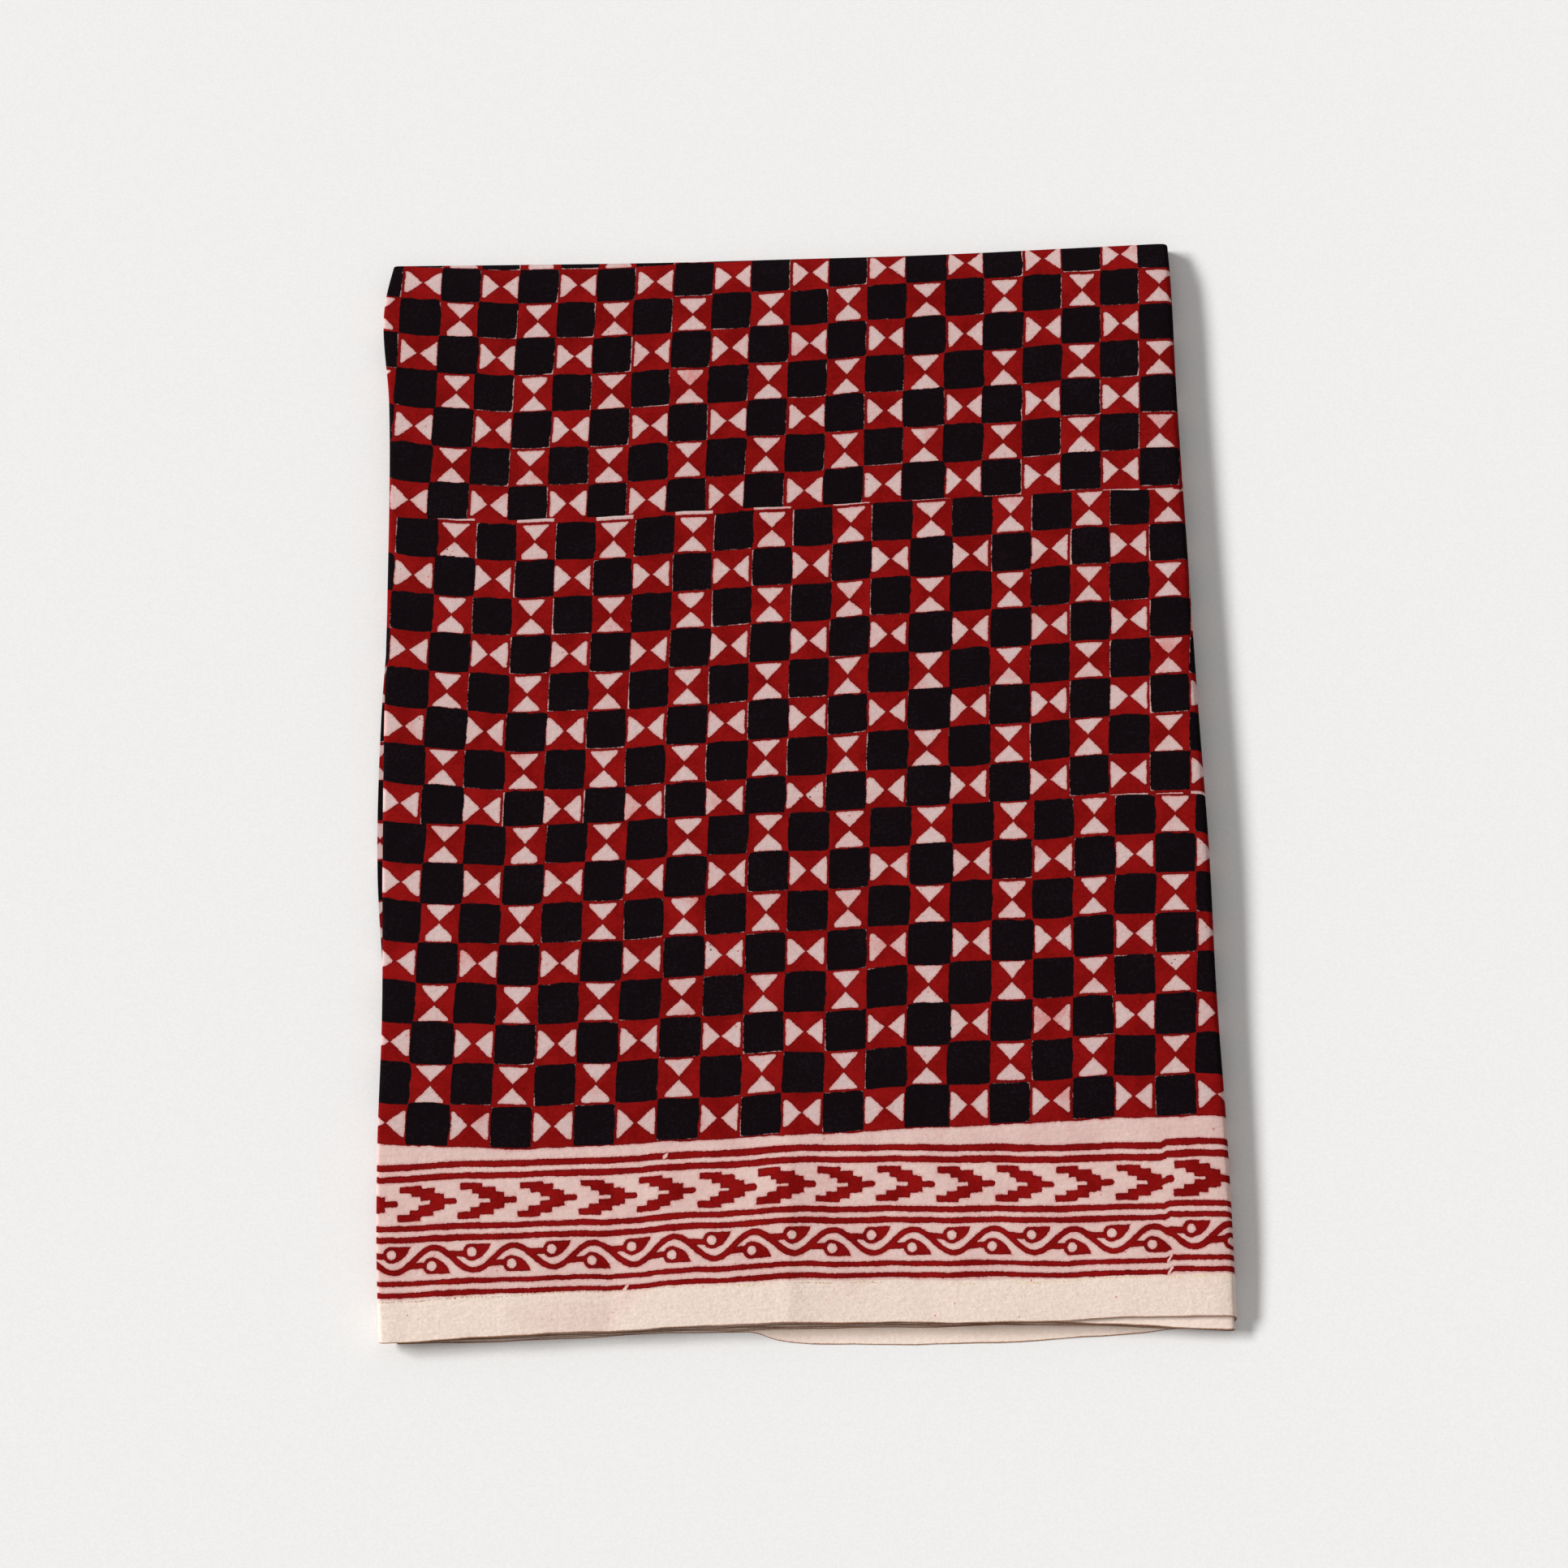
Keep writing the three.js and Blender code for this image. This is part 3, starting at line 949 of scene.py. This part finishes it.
def stray_dye(u, v, clouds, ground, red_ink, in_field):
    """The bare cotton with the dye that strayed: fringes, droplets, smudges and washed squares."""
    fringe = (red_ink.fade(1.6, 0) * (clouds.mottle + 0.55)).fade(0.05, 0.8) * 0.55
    ground = mix_colours(fringe, ground, STAINED_COTTON)
    droplets = specks(u, v, spacing=10, share=0.24, size=1.1, seed=31) + clouds.creep * 0.5
    droplets = droplets.fade(0.3, -0.3) * 0.8
    smudge = noise(u, v, size=5, seed=32, detail=3).fade(0.28, 0.42)
    smudge = smudge * (clouds.patches + clouds.swing + 0.2).fade(0.1, 0.5) * 0.3
    washed = noise(u, v, size=34, seed=37).fade(0.16, 0.4) * in_field
    washed = washed * (clouds.patches + clouds.mottle + 0.5).fade(0, 1) * 0.7
    ground = mix_colours(largest(droplets, smudge, washed), ground, STAINED_COTTON)
    spilt = specks(u, v, spacing=2.6, share=0.2, size=0.9, seed=36) + clouds.creep * 0.6
    spilt = spilt.fade(0.15, -0.15) * noise(u, v, size=22, seed=38).fade(0.2, 0.34) * in_field
    return mix_colours(spilt, ground, BLACK_DYE)


def pin_line(u, v, clouds, ground, from_hem):
    """The ground with the pin holes from the cloth's stretching, and gold threads in them."""
    beside_pins = abs(from_hem - PIN_LINE - clouds.sway * 1.4 - clouds.wobble * 0.5)
    pins = beside_pins.fade(0.5, 0.15) * noise(u, v * 0.2, size=1.2, seed=33).fade(-0.1, 0.15)
    pins = pins * noise(u, v, size=22, seed=34).fade(-0.35, 0.1)
    golden = (clouds.grain * 1.6 + u / 700).fade(0.0, 0.2)
    return mix_colours(pins * 0.85, ground, mix_colours(golden, PIN_HOLE, PIN_THREAD))


def red_dye(clouds, red_ink):
    """The red, darker where it pooled along the edges of the stamp."""
    deeper = (clouds.patches + clouds.mottle * 0.8 + 0.5).fade(0, 1)
    dye = mix_colours(deeper, RED_DYE, DEEP_RED_DYE)
    return mix_colours(red_ink.fade(-0.8, -0.1) * 0.6, dye, POOLED_RED_DYE)


def printed_cotton():
    material = bpy.data.materials.new("printed_cotton")
    material.use_nodes = True
    tree = material.node_tree
    shader = tree.nodes["Principled BSDF"]
    flat = Field(add_node(tree, "ShaderNodeUVMap", uv_map="cloth").outputs[0])
    u, v, _ = split(flat)
    u = u * 1000
    v = v * 1000
    from_hem = smallest(v, CUT_WIDTH - v)
    clouds = make_clouds(u, v)
    wobble = clouds.wobble
    # The two inks.
    check_u = u + clouds.swing * 0.8 + wobble * 0.5
    check_v = v + clouds.sway * 0.8 + wobble * 0.4
    columns, rows, stamp_row = check_grid(check_u, check_v)
    field_edge = largest(rows * -CELL, (rows - (CHECK_ROWS - 1)) * CELL) - 10.6 - wobble * 0.8
    checks = largest(red_check(columns, rows, clouds.tremble), field_edge)
    border_v = from_hem + clouds.sway * 0.9 + wobble * 0.35
    edging = border(u + wobble * 0.4, border_v, clouds.thicker, clouds.tremble)
    red_ink = smallest(checks, edging) + clouds.creep * 0.42
    black_ink = black_check(columns, rows, stamp_row) + wobble * 0.9
    black_ink = black_ink + clouds.tremble * 0.45 + clouds.creep * 0.4
    # The cotton, and on it one ink after the other.
    in_field = field_edge.fade(2, -2)
    ground = bare_cotton(clouds, from_hem, in_field)
    ground = stray_dye(u, v, clouds, ground, red_ink, in_field)
    ground = pin_line(u, v, clouds, ground, from_hem)
    surface = mix_colours(red_ink.fade(0.2, -0.2), ground, red_dye(clouds, red_ink))
    greyer = (clouds.mottle + clouds.patches * 0.5).fade(-0.1, 0.6)
    black_dye = mix_colours(greyer, BLACK_DYE, GREYED_DYE)
    surface = mix_colours(black_ink.fade(0.25, -0.25), surface, black_dye)
    # Shade between the threads.
    threads = clouds.mottle * 0.14 + clouds.grain * 0.16 + clouds.slubs * 0.05 + 0.5
    shaded = mix_colours(0.5, surface, THREAD_SHADE, "MULTIPLY")
    surface = mix_colours(threads.fade(0.3, 0.7), shaded, surface)
    # The wrong side shows the print only as far as the dye came through.
    wrong_side = add_node(tree, "ShaderNodeAttribute", attribute_name="wrong_side")
    surface = mix_colours(Field(wrong_side.outputs["Fac"]) * 0.55, surface, HEM_COTTON)
    # The last threads of the selvedge are brown, and this brown also serves as painted contact shade
    # darkening the cloth's very edge.
    edge_threads_and_shade = from_hem + clouds.creep * 0.3 + noise(u, v, size=30, seed=39) * 0.4
    surface = mix_colours(edge_threads_and_shade.fade(0.7, 0.15), surface, SELVEDGE_BROWN_AND_EDGE_SHADE)
    tree.links.new(surface.socket, shader.inputs["Base Color"])
    shader.inputs["Roughness"].default_value = 0.9
    shader.inputs["Specular IOR Level"].default_value = 0.03
    cockle = noise(u * 0.8 + v * 0.4, v * 1.6, size=3.4, seed=14, detail=2)
    height = weave(u, v) * 0.4 + clouds.grain * 0.6 + clouds.slubs * 0.3
    height = height + clouds.mottle * 0.8 + cockle * 3.0
    relief_inputs = {"Strength": 0.6, "Distance": BUMP_HEIGHT * MM, "Height": height}
    bump = add_node(tree, "ShaderNodeBump", relief_inputs)
    tree.links.new(bump.outputs[0], shader.inputs["Normal"])
    return material


# ---- Table, light and camera -----------------------------------------------------------

TABLE_SIZE = 6.0
TABLE_SHADE = (0.775, 0.765, 0.755, 1)  # the table's two colours, in linear light
TABLE_LIGHT = (0.825, 0.815, 0.805, 1)

CAMERA_TARGET = Vector((-4.3, -5.6, 6.0)) * MM
CAMERA_AZIMUTH = math.radians(-1.457)
CAMERA_ELEVATION = math.radians(74.629)
CAMERA_DISTANCE = 1.642
CAMERA_LENS = 75.9
CAMERA_SENSOR = 36.0

# The panes of the window, as bearings from the left towards the back.
WINDOW_BEARINGS = [math.radians(degrees) for degrees in (4, 14, 24)]
WINDOW_ELEVATION = math.radians(28.6)
WINDOW_STRENGTH = 4.45
WINDOW_SPREAD = math.radians(11)
SKY_COLOUR = (1, 0.99, 0.98, 1)
SKY_STRENGTH = 0.42


def make_table():
    bpy.ops.object.select_all(action="DESELECT")
    bpy.ops.mesh.primitive_plane_add(size=TABLE_SIZE, location=(0, 0, packed_box[0].z))
    table = bpy.context.object
    table.name = "table"
    material = bpy.data.materials.new("pale_table")
    material.use_nodes = True
    tree = material.node_tree
    shader = tree.nodes["Principled BSDF"]
    x, y, _ = split(Field(add_node(tree, "ShaderNodeTexCoord").outputs["Object"]))
    grain = noise(x * 1000, y * 1000, size=1.1, seed=51, detail=2).fade(-0.5, 0.5)
    surface = mix_colours(grain, TABLE_SHADE, TABLE_LIGHT)
    tree.links.new(surface.socket, shader.inputs["Base Color"])
    shader.inputs["Roughness"].default_value = 0.9
    shader.inputs["Specular IOR Level"].default_value = 0.1
    table.data.materials.append(material)


def make_camera():
    level = math.cos(CAMERA_ELEVATION)
    back = Vector((
        math.sin(CAMERA_AZIMUTH) * level,
        -math.cos(CAMERA_AZIMUTH) * level,
        math.sin(CAMERA_ELEVATION),
    ))
    lens = bpy.data.cameras.new("camera")
    lens.lens = CAMERA_LENS
    lens.sensor_width = CAMERA_SENSOR
    camera = bpy.data.objects.new("camera", lens)
    camera.location = CAMERA_TARGET + back * CAMERA_DISTANCE
    camera.rotation_euler = (-back).to_track_quat("-Z", "Y").to_euler()
    bpy.context.scene.collection.objects.link(camera)
    bpy.context.scene.camera = camera


def make_light():
    """A wide low window on the left, as three panes side by side, and a pale room."""
    level = math.cos(WINDOW_ELEVATION)
    up = math.sin(WINDOW_ELEVATION)
    for bearing in WINDOW_BEARINGS:
        towards = Vector((-math.cos(bearing) * level, math.sin(bearing) * level, up))
        lamp = bpy.data.lights.new("window", "SUN")
        lamp.energy = WINDOW_STRENGTH / len(WINDOW_BEARINGS)
        lamp.angle = WINDOW_SPREAD
        window = bpy.data.objects.new("window", lamp)
        window.rotation_euler = towards.to_track_quat("Z", "Y").to_euler()
        bpy.context.scene.collection.objects.link(window)
    world = bpy.data.worlds.new("studio")
    world.use_nodes = True
    sky = world.node_tree.nodes["Background"]
    sky.inputs["Color"].default_value = SKY_COLOUR
    sky.inputs["Strength"].default_value = SKY_STRENGTH
    bpy.context.scene.world = world


make_table()
make_camera()
make_light()
bpy.context.scene.view_settings.view_transform = "Standard"

cloth = make_cloth()
cloth.data.materials.append(printed_cotton())
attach(cloth, "root")
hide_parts("folded_cloth")
